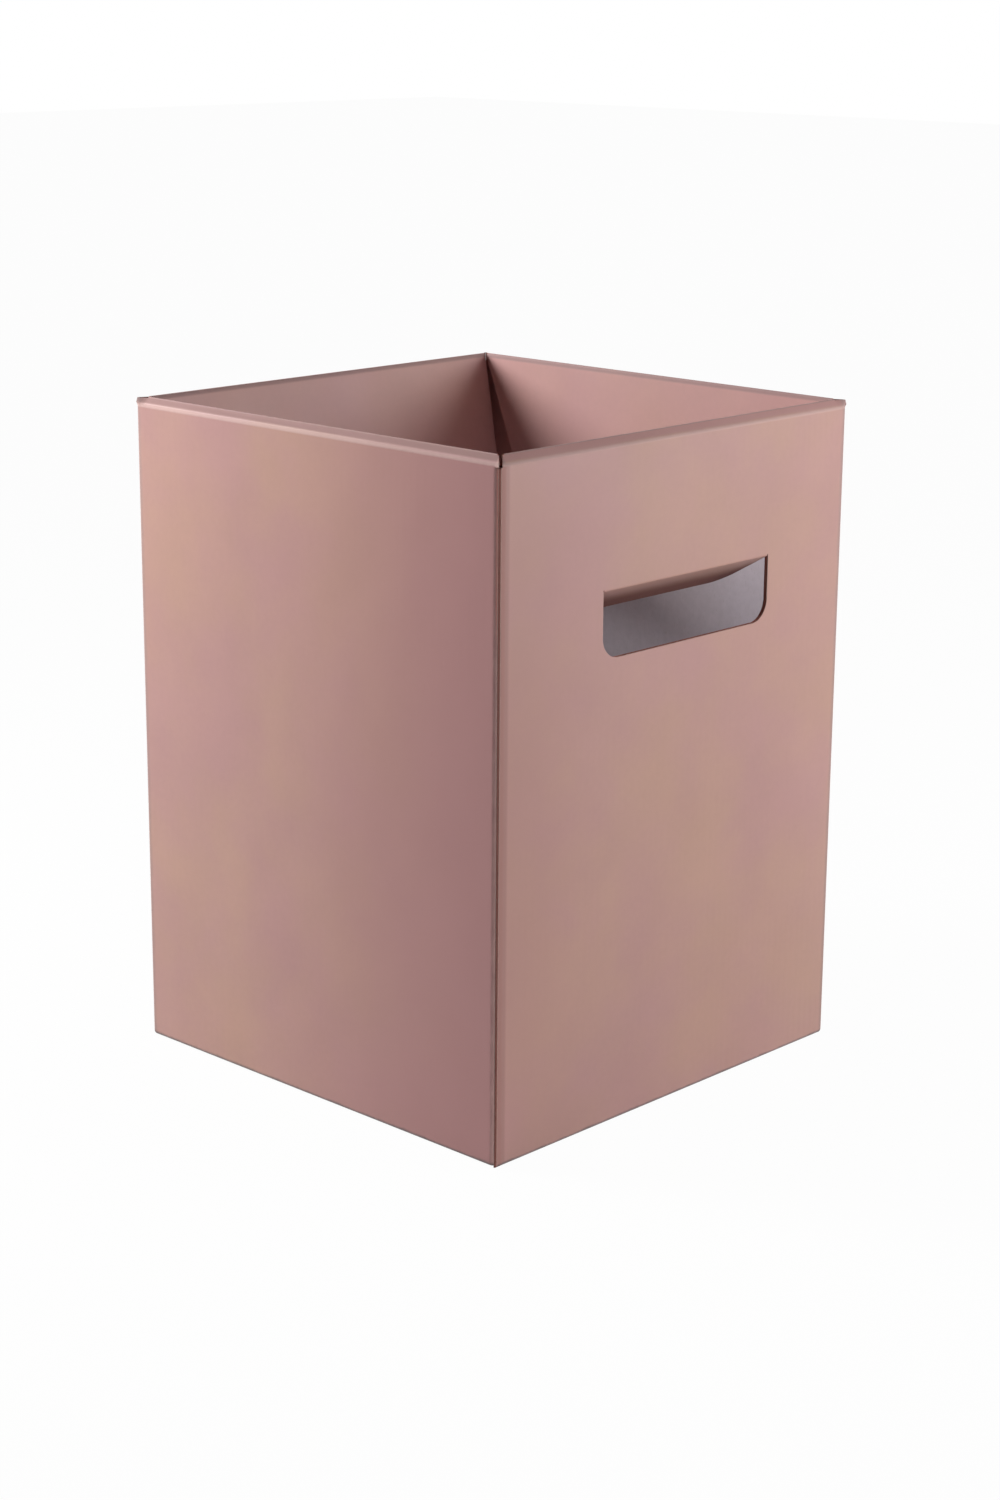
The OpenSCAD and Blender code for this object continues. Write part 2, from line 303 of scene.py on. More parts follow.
def cut_end(bm, point, normal):
    """Cuts a closed form with a plane, drops the part that the normal points to and closes the cut"""
    cut = bisect(bm, whole(bm), point, normal, clear_outer=True)
    edges = only(cut["geom_cut"], BMEdge)
    return bmesh.ops.holes_fill(bm, edges=edges, sides=0)["faces"]


def ease(bm, geom, width, segments, affect="EDGES"):
    """Rounds edges, or the corners of a flat face"""
    return bmesh.ops.bevel(
        bm,
        geom=geom,
        offset=width,
        offset_type="OFFSET",
        segments=segments,
        profile=0.5,
        affect=affect,
        clamp_overlap=True,
        material=-1,
    )


def outline_face(bm, points, z):
    """A flat face from its corners"""
    corners = [bm.verts.new((x, y, z)) for x, y in points]
    return bmesh.ops.contextual_create(bm, geom=corners)["faces"][0]


def thicken(bm, depth_layer, vec):
    """Gives a flat sheet its thickness: the new side is the liner, and the cut edges show the core"""
    faces = bm.faces[:]
    grown = bmesh.ops.extrude_face_region(bm, geom=faces, use_keep_orig=True)
    moved = only(grown["geom"], BMVert)
    bmesh.ops.translate(bm, verts=moved, vec=vec)
    for vert in moved:
        vert[depth_layer] = 1.0
    bmesh.ops.recalc_face_normals(bm, faces=bm.faces[:])
    name_sides(bm, depth_layer)


def name_sides(bm, depth_layer):
    """Sets each face's material from the depth of its corners in the board"""
    for face in bm.faces:
        deep = [v[depth_layer] > 0.5 for v in face.verts]
        face.material_index = LINER if all(deep) else CORE if any(deep) else PRINTED


def cut_lines(bm):
    """The sharp edges between a cut edge of the board and its two faces"""
    lines = []
    for edge in bm.edges:
        if len(edge.link_faces) == 2:
            kinds = {f.material_index for f in edge.link_faces}
            if CORE in kinds and len(kinds) == 2 and edge.calc_face_angle() > CUT_TURN:
                lines.append(edge)
    return lines


def write_sheet(bm, depth_layer, place):
    """Writes each vertex's place on the flat sheet, from a function that gives how far along and up it is"""
    layer = bm.verts.layers.float_vector.new(SHEET)
    for vert in bm.verts:
        along, up = place(vert.co)
        vert[layer] = Vector((along, up, vert[depth_layer]))
    bm.verts.layers.float.remove(depth_layer)


def make_piece(bm, name, body, slot, nodes=()):
    """Turns the finished form into an object that moves with its body"""
    for face in bm.faces:
        face.smooth = True
    for edge in bm.edges:
        edge.smooth = len(edge.link_faces) == 2 and edge.calc_face_angle() < SMOOTH_TURN
    mesh = to_mesh(bm, name)
    for material in board_materials(slot):
        mesh.materials.append(material)
    piece = show(name, mesh)
    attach(piece, body)
    if nodes:
        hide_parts(*nodes)
    return piece


# Walls


def sheet_plan(sizes):
    """Corners of the walls' outer face in plan, from the front wall's cut edge round to the glue tab's end"""
    w, d = sizes.width / 2, sizes.depth / 2
    return [
        Vector((sizes.seam_set - w, -d)),
        Vector((w, -d)),
        Vector((w, d)),
        Vector((-w, d)),
        Vector((-w, sizes.board - d)),
        Vector((sizes.tab_width - w, sizes.board - d)),
    ]


def along_plan(plan, co):
    """How far along the plan the nearest point to co lies"""
    best, found, start = math.inf, 0.0, 0.0
    for a, b in zip(plan, plan[1:]):
        run = b - a
        share = min(max((co.xy - a).dot(run) / run.length_squared, 0.0), 1.0)
        gap = (co.xy - a - run * share).length
        if gap < best - 1e-7:
            best, found = gap, start + share * run.length
        start += run.length
    return found


def fold_plan(bm, plan, height):
    """Raises the walls from their plan, as one open sheet"""
    end = bmesh.ops.create_vert(bm, co=(*plan[0], 0))["vert"]
    for a, b in zip(plan, plan[1:]):
        end = bmesh.ops.extrude_vert_indiv(bm, verts=end)["verts"]
        bmesh.ops.translate(bm, verts=end, vec=(*(b - a), 0))
    grown = bmesh.ops.extrude_edge_only(bm, edges=bm.edges[:])["geom"]
    bmesh.ops.translate(bm, verts=only(grown, BMVert), vec=(0, 0, height))


def hole_planes(sizes, layout, side):
    """The planes of a hand hole's sides, with its two lower corners rounded"""
    half, r = sizes.hole_width / 2, sizes.hole_radius
    middle = hole_middle(sizes, side)
    y = (-1 if side == "front" else 1) * sizes.depth / 2
    planes = [
        (Vector((middle - half, y, 0)), Vector((-1, 0, 0))),
        (Vector((middle + half, y, 0)), Vector((1, 0, 0))),
        (Vector((0, y, layout.hole_top)), Vector((0, 0, 1))),
        (Vector((0, y, layout.hole_foot)), Vector((0, 0, -1))),
    ]
    for sx in (-1, 1):
        centre = Vector((middle + sx * (half - r), y, layout.hole_foot + r))
        for step in range(1, 8):
            turn = math.pi / 16 * step
            normal = Vector((sx * math.cos(turn), 0, -math.sin(turn)))
            planes.append((centre + normal * r, normal))
    return planes


def trim_tab(bm, sizes, layout):
    """Cuts the glue tab's two slanted ends"""
    y = sizes.board - sizes.depth / 2
    root = sizes.corner_radius - sizes.width / 2
    slope = sizes.tab_width * math.tan(sizes.tab_slant) / (sizes.tab_width - sizes.corner_radius)
    for z, sign in ((sizes.tab_foot, -1), (sizes.height - sizes.tab_drop, 1)):
        faces = [f for f in bm.faces if abs(f.calc_center_median().y - y) < SAME and abs(f.normal.y) > 0.99]
        point, normal = Vector((root, y, z)), Vector((slope, 0, sign)).normalized()
        parts = only(bisect(bm, all_of(faces), point, normal)["geom"], BMFace)
        drop = [f for f in parts if (f.calc_center_median() - point).dot(normal) > 0]
        bmesh.ops.delete(bm, geom=drop, context="FACES")


def build_walls(sizes):
    layout = Layout(sizes)
    plan = sheet_plan(sizes)
    bm = bmesh.new()
    fold_plan(bm, plan, layout.wall_top)
    folds = [e for e in bm.edges if len(e.link_faces) == 2]
    ease(bm, folds, sizes.corner_radius, 8)
    bmesh.ops.recalc_face_normals(bm, faces=bm.faces[:])
    front = min(bm.faces, key=lambda f: f.calc_center_median().y)
    if front.normal.y > 0:
        bmesh.ops.reverse_faces(bm, faces=bm.faces[:])
    for side in HOLE_SIDES:
        y = (-1 if side == "front" else 1) * sizes.depth / 2
        wall = [f for f in bm.faces if abs(f.calc_center_median().y - y) < SAME and f.calc_area() > 0.01]
        cut_opening(bm, wall, hole_planes(sizes, layout, side))
    trim_tab(bm, sizes, layout)

    depth_layer = bm.verts.layers.float.new("depth")
    outer = set(bm.verts)
    bmesh.ops.solidify(bm, geom=bm.faces[:], thickness=sizes.board)
    for vert in bm.verts:
        vert[depth_layer] = 0.0 if vert in outer else 1.0
    name_sides(bm, depth_layer)

    # The fold above a hand hole is crushed on its inner side, which leaves room for the flap
    relief = 2.4 * layout.half_board
    crushed = [
        v
        for v in bm.verts
        if v[depth_layer] > 0.5
        and abs(v.co.z - layout.hole_top) < SAME
        and abs(v.co.x) < sizes.hole_width / 2 + sizes.hole_shift + SAME
    ]
    bmesh.ops.translate(bm, verts=crushed, vec=(0, 0, relief))

    foot = [e for e in bm.edges if all(v.co.z < SAME and v[depth_layer] < 0.5 for v in e.verts)]
    for face in ease(bm, foot, sizes.foot_radius * 0.99, 6)["faces"]:
        face.material_index = PRINTED
    low, high = sizes.foot_radius * 2, layout.wall_top - 1e-5
    lines = [e for e in cut_lines(bm) if all(low < v.co.z < high for v in e.verts)]
    ease(bm, lines, CUT_EASE, 1)
    write_sheet(bm, depth_layer, lambda co: (along_plan(plan, co), co.z))
    return make_piece(bm, "carton_walls", "carton", "board", ("carton",))


# Rim


def draw_out(bm, sizes, layout, sign, half):
    """Draws a strip's end out to the carton's corner, and rounds its foot like the upright fold below it"""
    radius = sizes.corner_radius
    stop = radius * (1 - math.sqrt(0.5)) + sizes.rim_end
    for share in HORN_CUTS:
        point = Vector((sign * (half - sizes.horn_run * share), 0, 0))
        bisect(bm, whole(bm), point, (1, 0, 0))
    for vert in bm.verts:
        off = half - sign * vert.co.x
        if abs(vert.co.y) < SAME and off < radius:
            off = max(off, stop)
            vert.co.x = sign * (half - off)
            vert.co.y = radius - math.sqrt(radius * radius - (radius - off) ** 2)
            continue
        rise = min(max(vert.co.z - layout.crease_z, 0.0) * math.tan(sizes.rim_tilt), layout.rim_in)
        near = min(max((sizes.horn_run - off) / (sizes.horn_run - layout.rim_in), 0.0), 1.0)
        shift = HORN_SHARE * rise * near * near * (3 - 2 * near)
        vert.co.x += sign * shift
        vert.co.y -= shift


def rim_profile(sizes, layout):
    """A strip's section, in and up from its wall's outer face: three corners of print, then three of liner"""
    lean, tilt, board = sizes.plain_lean, sizes.rim_tilt, sizes.board
    hinge = Vector((layout.hinge_in, layout.hinge_z))
    down = Vector((math.sin(lean), -math.cos(lean)))
    inward = Vector((math.cos(lean), math.sin(lean)))
    clear = hinge - inward * (layout.half_board + sizes.fold_gap)
    # Where the strip's inner face meets the plane that clears the hanging flap
    inner = Vector((board, layout.crease_z - board * math.tan(tilt / 2)))
    strip = Vector((math.sin(tilt), math.cos(tilt)))
    reach = (clear - inner).dot(inward) / strip.dot(inward)
    return [
        Vector((0, layout.wall_top)),
        Vector((0, layout.crease_z)),
        Vector((layout.rim_in, layout.strip_z)),
        clear + down * 0.4 * layout.half_board,
        inner + strip * reach,
        Vector((board, layout.wall_top)),
    ]


def rim_strip(sizes, layout, side, profile):
    """The strip on one wall, cut to its mitres"""
    half = wall_length(sizes, side) / 2
    bm = bmesh.new()
    depth_layer = bm.verts.layers.float.new("depth")
    corners = [bm.verts.new((-half, y, z)) for y, z in profile]
    for vert in corners[3:]:
        vert[depth_layer] = 1.0
    face = bmesh.ops.contextual_create(bm, geom=corners)["faces"][0]
    grown = bmesh.ops.extrude_face_region(bm, geom=[face], use_keep_orig=True)["geom"]
    bmesh.ops.translate(bm, verts=only(grown, BMVert), vec=(2 * half, 0, 0))
    bmesh.ops.recalc_face_normals(bm, faces=bm.faces[:])
    name_sides(bm, depth_layer)
    for sign in (-1, 1):
        at_seam = SEAM_ENDS.get(side) == sign
        point = Vector((sign * (half - (sizes.seam_end if at_seam else sizes.rim_end)), 0, 0))
        for cap in cut_end(bm, point, Vector((sign, 1, 0)).normalized()):
            cap.material_index = CORE
        if not at_seam:
            draw_out(bm, sizes, layout, sign, half)
    crease = [e for e in bm.edges if all(abs(v.co.z - layout.crease_z) < SAME for v in e.verts)]
    ease(bm, crease, layout.crease_run, 6)
    ends = [
        e
        for e in cut_lines(bm)
        if {f.material_index for f in e.link_faces} == {PRINTED, CORE}
        and all(v[depth_layer] < 0.5 for v in e.verts)
        and e.calc_length() < END_REACH
        and abs(e.verts[0].co.x) > half - END_REACH
    ]
    seam = [e for e in ends if e.verts[0].co.x * SEAM_ENDS.get(side, 0) > 0]
    mitred = [e for e in ends if e not in seam]
    ease(bm, seam, SEAM_EASE, 4)
    for face in ease(bm, mitred, MITRE_EASE, 1)["faces"]:
        face.material_index = PRINTED
    for face in bm.faces:
        if abs(face.normal.z + 1) < 1e-3:
            face.material_index = CORE
    bm.transform(wall_matrix(sizes, side))
    return bm


def build_rim(sizes):
    """The strips between the rim's two creases, one on each wall"""
    layout = Layout(sizes)
    profile = rim_profile(sizes, layout)
    merged = bmesh.new()
    merged.verts.layers.float.new("depth")
    for side in TURNS:
        join(merged, rim_strip(sizes, layout, side, profile))
    plan = sheet_plan(sizes)
    depth_layer = merged.verts.layers.float["depth"]
    write_sheet(merged, depth_layer, lambda co: (along_plan(plan, co), co.z))
    return make_piece(merged, "carton_rim", "carton", "board")


# Flaps


def build_flap(body, slot, outline, rounds, radius, turn, sizes, matrix):
    """A hinged flap: its outline starts half a board before the fold, and is rounded there about the fold"""
    half = sizes.board / 2
    bm = bmesh.new()
    depth_layer = bm.verts.layers.float.new("depth")
    outline_face(bm, outline, half)
    bm.verts.ensure_lookup_table()
    corners = [v for v in bm.verts if any((v.co.xy - Vector(p)).length < SAME for p in rounds)]
    ease(bm, corners, radius * math.tan(turn / 2), 8, "VERTICES")
    thicken(bm, depth_layer, (0, 0, -sizes.board))
    # The fold's round stops a hair short of half the board, so that no face shrinks to nothing
    at_fold = [e for e in bm.edges if all(abs(v.co.y + half) < SAME for v in e.verts)]
    ease(bm, [e for e in at_fold if abs(e.verts[0].co.z - e.verts[1].co.z) < SAME], half * 0.995, 8)
    for face in bm.faces:
        normal = face.normal
        if face.calc_center_median().y < half * 0.05 and abs(normal.x) < 0.5:
            around = math.degrees(math.atan2(-normal.y, normal.z))
            face.material_index = PRINTED if around < 150 else LINER
    lines = [e for e in cut_lines(bm) if all(v.co.y > -half * 0.1 for v in e.verts)]
    ease(bm, lines, CUT_EASE, 1)
    write_sheet(bm, depth_layer, lambda co: (co.x, co.y))
    bm.transform(matrix)
    return make_piece(bm, "board_" + body, body, slot, (body,))


def flap_axes(side, lean, along, inset, up):
    """From a flap's own axes to its wall's: side is 1 where the flap's print looks inwards, or else -1"""
    return Matrix(
        (
            (side, 0, 0, along),
            (0, math.sin(lean), side * math.cos(lean), inset),
            (0, -math.cos(lean), side * math.sin(lean), up),
            (0, 0, 0, 1),
        )
    )


def build_top_flap(sizes, side):
    layout = Layout(sizes)
    next_lean = sizes.plain_lean if side in HOLE_SIDES else sizes.hand_lean
    slant = sizes.plain_lean + sizes.flap_ease if side in HOLE_SIDES else sizes.flap_taper
    half_board, run = layout.half_board, sizes.flap_length
    half = wall_length(sizes, side) / 2 - layout.hinge_in - half_board / math.cos(next_lean) - sizes.flap_gap
    end = half - (run - half_board) * math.tan(slant)
    outline = [
        (-half, -half_board),
        (half, -half_board),
        (half, half_board),
        (end, run),
        (-end, run),
        (-half, half_board),
    ]
    axes = flap_axes(1, flap_lean(sizes, side), 0, layout.hinge_in, layout.hinge_z)
    matrix = wall_matrix(sizes, side) @ axes
    rounds, turn = [(end, run), (-end, run)], math.pi / 2 - slant
    return build_flap("top_flap_" + side, "top_flaps", outline, rounds, sizes.flap_round, turn, sizes, matrix)


def build_hand_flap(sizes, side):
    layout = Layout(sizes)
    half, start = sizes.hole_width / 2 - sizes.hole_edge, -layout.half_board
    run = sizes.hole_height - sizes.hole_edge
    outline = [(-half, start), (half, start), (half, 0), (half, run), (-half, run), (-half, 0)]
    axes = flap_axes(-1, sizes.hole_push, sizes.hole_shift, layout.half_board, layout.hole_top)
    matrix = wall_matrix(sizes, side) @ axes
    rounds, radius = [(half, run), (-half, run)], sizes.hole_radius - sizes.hole_edge
    return build_flap("hand_flap_" + side, "hand_flaps", outline, rounds, radius, math.pi / 2, sizes, matrix)


# Base


def build_base(sizes):
    """The crash-lock base: two locking panels with hooks, and the two side panels above them"""
    board, gap, edge = sizes.board, sizes.panel_gap, sizes.panel_gap / 2
    w, d = sizes.width / 2, sizes.depth / 2
    inner_w = w - board - gap
    lock = [
        (-inner_w, board - d),
        (inner_w, board - d),
        (inner_w, sizes.short_end - edge),
        (sizes.lock_slant + edge, sizes.short_end - edge),
        (edge - sizes.lock_slant, -sizes.short_end - edge),
        (-inner_w, -sizes.short_end - edge),
    ]
    outer, root = w - board - sizes.side_panel - gap, 4 * board
    hook = [
        (-outer, -sizes.short_end - root),
        (-edge - sizes.lock_slant, -sizes.short_end - root),
        (-edge, root - sizes.short_end),
        (-edge, sizes.hook_end - sizes.hook_slant),
        (-edge - sizes.hook_slant, sizes.hook_end),
        (sizes.hook_slant - outer, sizes.hook_end),
        (-outer, sizes.hook_end - sizes.hook_slant),
    ]
    end, half = board + sizes.side_panel - w, d - board - gap
    cut = sizes.side_panel * math.tan(sizes.side_slant)
    side = [(board - w, -half), (end, 2 * cut - half), (end, half - cut), (board - w, half)]
    merged = bmesh.new()
    merged.verts.layers.float_vector.new(SHEET)
    for turn in (0, math.pi):
        for outline, z, across in ((lock, 0, False), (hook, board, False), (side, board, True)):
            bm = bmesh.new()
            depth_layer = bm.verts.layers.float.new("depth")
            outline_face(bm, outline, z)
            if outline is lock:
                score_panel(bm, sizes, Vector((inner_w, board - d, 0)))
            thicken(bm, depth_layer, (0, 0, board))
            ease(bm, cut_lines(bm), BASE_EASE, 1)
            flat = (lambda co: (co.y, co.x)) if across else (lambda co: (co.x, co.y))
            write_sheet(bm, depth_layer, flat)
            bm.transform(Matrix.Rotation(turn, 4, "Z"))
            join(merged, bm)
    return make_piece(merged, "carton_base", "carton", "board")


def score_panel(bm, sizes, corner):
    """Presses a scored line across the panel's glued corner, from the given corner at 45 degrees"""
    across = Vector((1, 1, 0)).normalized()
    for shift in (-0.5, 0, 0.5):
        bisect(bm, whole(bm), corner + across * shift * sizes.score_width, across)
    line = [v for v in bm.verts if abs((v.co - corner).dot(across)) < SAME]
    bmesh.ops.translate(bm, verts=line, vec=(0, 0, sizes.score_width / 3))


# Finishes

MID_GREY = (0.5, 0.5, 0.5, 1.0)


def place(tree, kind, inputs, **settings):
    """Adds a node, with its settings and with values, colours or links for its inputs"""
    made = tree.nodes.new(kind)
    for name, value in settings.items():
        setattr(made, name, value)
    for key, value in inputs.items():
        socket = made.inputs[key]
        if isinstance(value, bpy.types.NodeSocket):
            tree.links.new(value, socket)
        else:
            socket.default_value = (*value, 1.0) if socket.type == "RGBA" else value
    return made


def calc(tree, operation, a, b=0.0, c=0.0, clamp=False):
    return place(tree, "ShaderNodeMath", {0: a, 1: b, 2: c}, operation=operation, use_clamp=clamp).outputs[0]


def times(tree, a, b):
    return calc(tree, "MULTIPLY", a, b)


def ramp(tree, value, low, high, to_low=0.0, to_high=1.0):
    """Smooth step of a value between two limits"""
    inputs = {"Value": value, "From Min": low, "From Max": high, "To Min": to_low, "To Max": to_high}
    return place(tree, "ShaderNodeMapRange", inputs, interpolation_type="SMOOTHSTEP").outputs[0]


def blend(tree, share, a, b, kind="MIX"):
    made = place(tree, "ShaderNodeMix", {0: share, 6: a, 7: b}, data_type="RGBA", blend_type=kind)
    return made.outputs[2]


def noise(tree, vector, scale, detail=2.0, roughness=0.5):
    inputs = {"Vector": vector, "Scale": scale, "Detail": detail, "Roughness": roughness}
    return place(tree, "ShaderNodeTexNoise", inputs).outputs[0]


def node_group(name, inputs, outputs, wire):
    """A shader node group, built once. An input's default says what it takes: a number a value, a colour a
    colour and None a vector. The outputs are values, but for those called Colour."""
    if name in bpy.data.node_groups:
        return bpy.data.node_groups[name]
    tree = bpy.data.node_groups.new(name, "ShaderNodeTree")
    for label, default in inputs.items():
        kind = "Vector" if default is None else "Float" if isinstance(default, float) else "Color"
        socket = tree.interface.new_socket(name=label, in_out="INPUT", socket_type="NodeSocket" + kind)
        if default is not None:
            socket.default_value = default
    for label in outputs:
        kind = "NodeSocketColor" if label == "Colour" else "NodeSocketFloat"
        tree.interface.new_socket(name=label, in_out="OUTPUT", socket_type=kind)
    entry = tree.nodes.new("NodeGroupInput")
    leave = tree.nodes.new("NodeGroupOutput")
    for label, socket in wire(tree, entry.outputs).items():
        tree.links.new(socket, leave.inputs[label])
    return tree


def use_group(tree, group, inputs):
    return place(tree, "ShaderNodeGroup", inputs, node_tree=group).outputs


def flute_wave(tree, given):
    """Sine of the place along the sheet, one turn for each flute"""
    turns = calc(tree, "DIVIDE", given["Along"], given["Pitch"])
    return calc(tree, "SINE", times(tree, turns, 2 * math.pi))


def finish_surface(tree, shader, base, rough, height, gloss):
    """Links the colour, the roughness and the relief, in metres, to a material's shader"""
    tree.links.new(base, shader.inputs["Base Color"])
    tree.links.new(rough, shader.inputs["Roughness"])
    bump = place(tree, "ShaderNodeBump", {"Strength": 1.0, "Distance": 1.0, "Height": height})
    tree.links.new(bump.outputs[0], shader.inputs["Normal"])
    shader.inputs["Specular IOR Level"].default_value = gloss


def flute_group():
    """The washboard of the flutes: a wave along the wall that shows in patches"""

    def wire(tree, given):
        wave = flute_wave(tree, given)
        patch = noise(tree, given["Vector"], 14.0, 1.0)
        shown = ramp(tree, patch, 0.35, 0.65, 0.25, 1.0)
        return {"Wave": wave, "Relief": times(tree, wave, shown)}

    inputs = {"Vector": None, "Along": 0.0, "Pitch": 0.0034}
    return node_group("Flute Washboard", inputs, ("Wave", "Relief"), wire)


def use_flutes(tree, position, sheet, finish):
    inputs = {"Vector": position, "Along": sheet[0], "Pitch": finish.flute_pitch}
    return use_group(tree, flute_group(), inputs)


def mottle_group():
    """Soft drift between two colours, with faint fine grain"""

    def wire(tree, given):
        broad = noise(tree, given["Vector"], 16.0, 3.0, 0.55)
        drift = ramp(tree, broad, 0.3, 0.7)
        mixed = blend(tree, drift, given["Colour"], given["Drift"])
        fine = noise(tree, given["Vector"], 420.0, 2.0)
        shade = calc(tree, "MULTIPLY_ADD", calc(tree, "SUBTRACT", fine, 0.5), given["Grain"], 1.0)
        cloud = noise(tree, given["Vector"], 38.0, 2.0)
        shade = calc(tree, "MULTIPLY_ADD", calc(tree, "SUBTRACT", cloud, 0.5), 0.10, shade)
        grey = place(tree, "ShaderNodeCombineColor", {0: shade, 1: shade, 2: shade}).outputs[0]
        return {"Colour": blend(tree, 1.0, mixed, grey, "MULTIPLY")}

    inputs = {"Vector": None, "Colour": MID_GREY, "Drift": MID_GREY, "Grain": 0.06}
    return node_group("Soft Mottle", inputs, ("Colour",), wire)


def fold_group():
    """Masks, from the place on the carton in metres: its upright corners, its foot, the rim's lower crease,
    the strips above it, which of those are on plain walls, and the narrow inner corners behind the flaps.
    Most of them place painted light: shade on the upright folds and in the narrow corners, a contact shadow
    at the foot, a highlight on the crease and a darker copy of the plain walls' strips"""

    def wire(tree, given):
        split = place(tree, "ShaderNodeSeparateXYZ", {0: given["Vector"]}).outputs
        in_x = calc(tree, "SUBTRACT", given["Half Width"], calc(tree, "ABSOLUTE", split[0]))
        in_y = calc(tree, "SUBTRACT", given["Half Depth"], calc(tree, "ABSOLUTE", split[1]))
        off = calc(tree, "MAXIMUM", in_x, in_y)
        rough = noise(tree, given["Vector"], 120.0, 2.0)
        wander = calc(tree, "MULTIPLY_ADD", rough, 0.0012, -0.0006)
        # The upright folds: dulled print with painted shade, and at the seam painted light
        corner = ramp(tree, calc(tree, "ADD", off, wander), 0.0016, 0.0034, 1.0, 0.0)
        # Painted contact shadow along the foot
        foot = ramp(tree, calc(tree, "ADD", split[2], wander), 0.0006, 0.0020, 1.0, 0.0)
        above = calc(tree, "SUBTRACT", split[2], given["Crease"])
        deep = calc(tree, "MINIMUM", in_x, in_y)
        outside = ramp(tree, deep, 0.0008, 0.0016, 1.0, 0.0)
        # Painted highlight along the rim's lower crease
        crease = times(tree, ramp(tree, calc(tree, "ABSOLUTE", above), 0.0002, 0.0009, 1.0, 0.0), outside)
        strip = times(tree, ramp(tree, above, 0.0005, 0.0014), ramp(tree, deep, 0.0026, 0.0034, 1.0, 0.0))
        # Which walls' strips take the darker copy, painted shade
        plain = ramp(tree, calc(tree, "SUBTRACT", in_y, in_x), -0.0005, 0.0005)
        # Painted shade in the narrow corners behind the flaps
        nook_shade_mask = times(tree, ramp(tree, off, 0.016, 0.030, 1.0, 0.0), ramp(tree, above, -0.070, -0.045))
        return dict(zip(masks, (corner, foot, crease, strip, plain, nook_shade_mask)))

    masks = ("Corner", "Foot", "Crease", "Strip", "Plain", "Nook")
    inputs = {"Vector": None, "Half Width": 0.093, "Half Depth": 0.093, "Crease": 0.247}
    return node_group("Fold Wear", inputs, masks, wire)


def section_group():
    """The cut board: two liners and the fluted core between them, from the place along and through it"""

    def wire(tree, given):
        wave = flute_wave(tree, given)
        middle = calc(tree, "MULTIPLY_ADD", wave, 0.36, 0.5)
        off = calc(tree, "ABSOLUTE", calc(tree, "SUBTRACT", given["Depth"], middle))
        core = ramp(tree, off, 0.09, 0.2, 1.0, 0.0)
        side = calc(tree, "ABSOLUTE", calc(tree, "SUBTRACT", given["Depth"], 0.5))
        liner = ramp(tree, side, 0.33, 0.40)
        return {"Paper": calc(tree, "MAXIMUM", core, liner), "Liner": liner}

    inputs = {"Along": 0.0, "Depth": 0.5, "Pitch": 0.0034}
    return node_group("Board Section", inputs, ("Paper", "Liner"), wire)


def fibre_group():
    """Fine paper fibres that run along the flutes"""

    def wire(tree, given):
        stretch = {0: given["Vector"], 1: (1.0, 1.0, 0.35)}
        drawn = place(tree, "ShaderNodeVectorMath", stretch, operation="MULTIPLY").outputs[0]
        coarse = noise(tree, drawn, 700.0, 3.0, 0.6)
        flecks = ramp(tree, noise(tree, drawn, 1500.0, 1.0), 0.62, 0.75)
        return {"Height": coarse, "Flecks": flecks}

    return node_group("Paper Fibre", {"Vector": None}, ("Height", "Flecks"), wire)


def empty_tree(owner):
    """The node tree of a material or a world, without the nodes that it comes with"""
    owner.use_nodes = True
    owner.node_tree.nodes.clear()
    return owner.node_tree


def start_material(name):
    material = bpy.data.materials.new(name)
    tree = empty_tree(material)
    shader = tree.nodes.new("ShaderNodeBsdfPrincipled")
    place(tree, "ShaderNodeOutputMaterial", {0: shader.outputs[0]})
    position = tree.nodes.new("ShaderNodeTexCoord").outputs["Object"]
    sheet = place(tree, "ShaderNodeAttribute", {}, attribute_name=SHEET, attribute_type="GEOMETRY")
    split = place(tree, "ShaderNodeSeparateXYZ", {0: sheet.outputs["Vector"]}).outputs
    return material, tree, shader, position, split


def printed_face(name, base, drift, wear_shade_and_light, finish, gloss):
    """Satin laminated print over the fluted board; wear_shade_and_light gives what folding and handling did
    to it, and the light and shade painted on it
    """
    material, tree, shader, position, sheet = start_material(name)
    flutes = use_flutes(tree, position, sheet, finish)
    tones = {"Vector": position, "Colour": base, "Drift": drift, "Grain": 0.05}
    mottle = use_group(tree, mottle_group(), tones)
    worn_and_painted_light, dulled = wear_shade_and_light(tree, mottle["Colour"], position, sheet)
    film = noise(tree, position, 60.0, 2.0)
    rough = calc(tree, "MULTIPLY_ADD", film, 0.10, finish.satin - 0.05)
    rough = calc(tree, "ADD", dulled, rough, clamp=True)
    # Heights of the flutes' print-through, the board's soft swell and the film's peel
    wave = times(tree, flutes["Relief"], 0.000006)
    swell = times(tree, noise(tree, position, 22.0, 1.0), 0.0006)
    peel = times(tree, noise(tree, position, 900.0, 2.0), 0.000006)
    height = calc(tree, "ADD", calc(tree, "ADD", wave, swell), peel)
    finish_surface(tree, shader, worn_and_painted_light, rough, height, gloss)
    return material


def fold_inputs(sizes, position):
    return {
        "Vector": position,
        "Half Width": sizes.width / 2,
        "Half Depth": sizes.depth / 2,
        "Crease": Layout(sizes).crease_z,
    }


def seam_shade_share(tree, position, along, end):
    """How much painted shade the print takes on towards the seam at the near corner, where both ends of the
    sheet meet
    """
    late = ramp(tree, along, end - LATE_SHADE_RUN, end)
    early = ramp(tree, along, 0.0, EARLY_SHADE_RUN, 0.45, 0.0)
    patch = calc(tree, "MULTIPLY_ADD", noise(tree, position, 11.0, 2.0), 1.2, -0.6)
    drift = calc(tree, "MAXIMUM", late, early)
    spread = times(tree, times(tree, drift, calc(tree, "SUBTRACT", 1.0, drift)), patch)
    return calc(tree, "ADD", drift, spread, clamp=True)


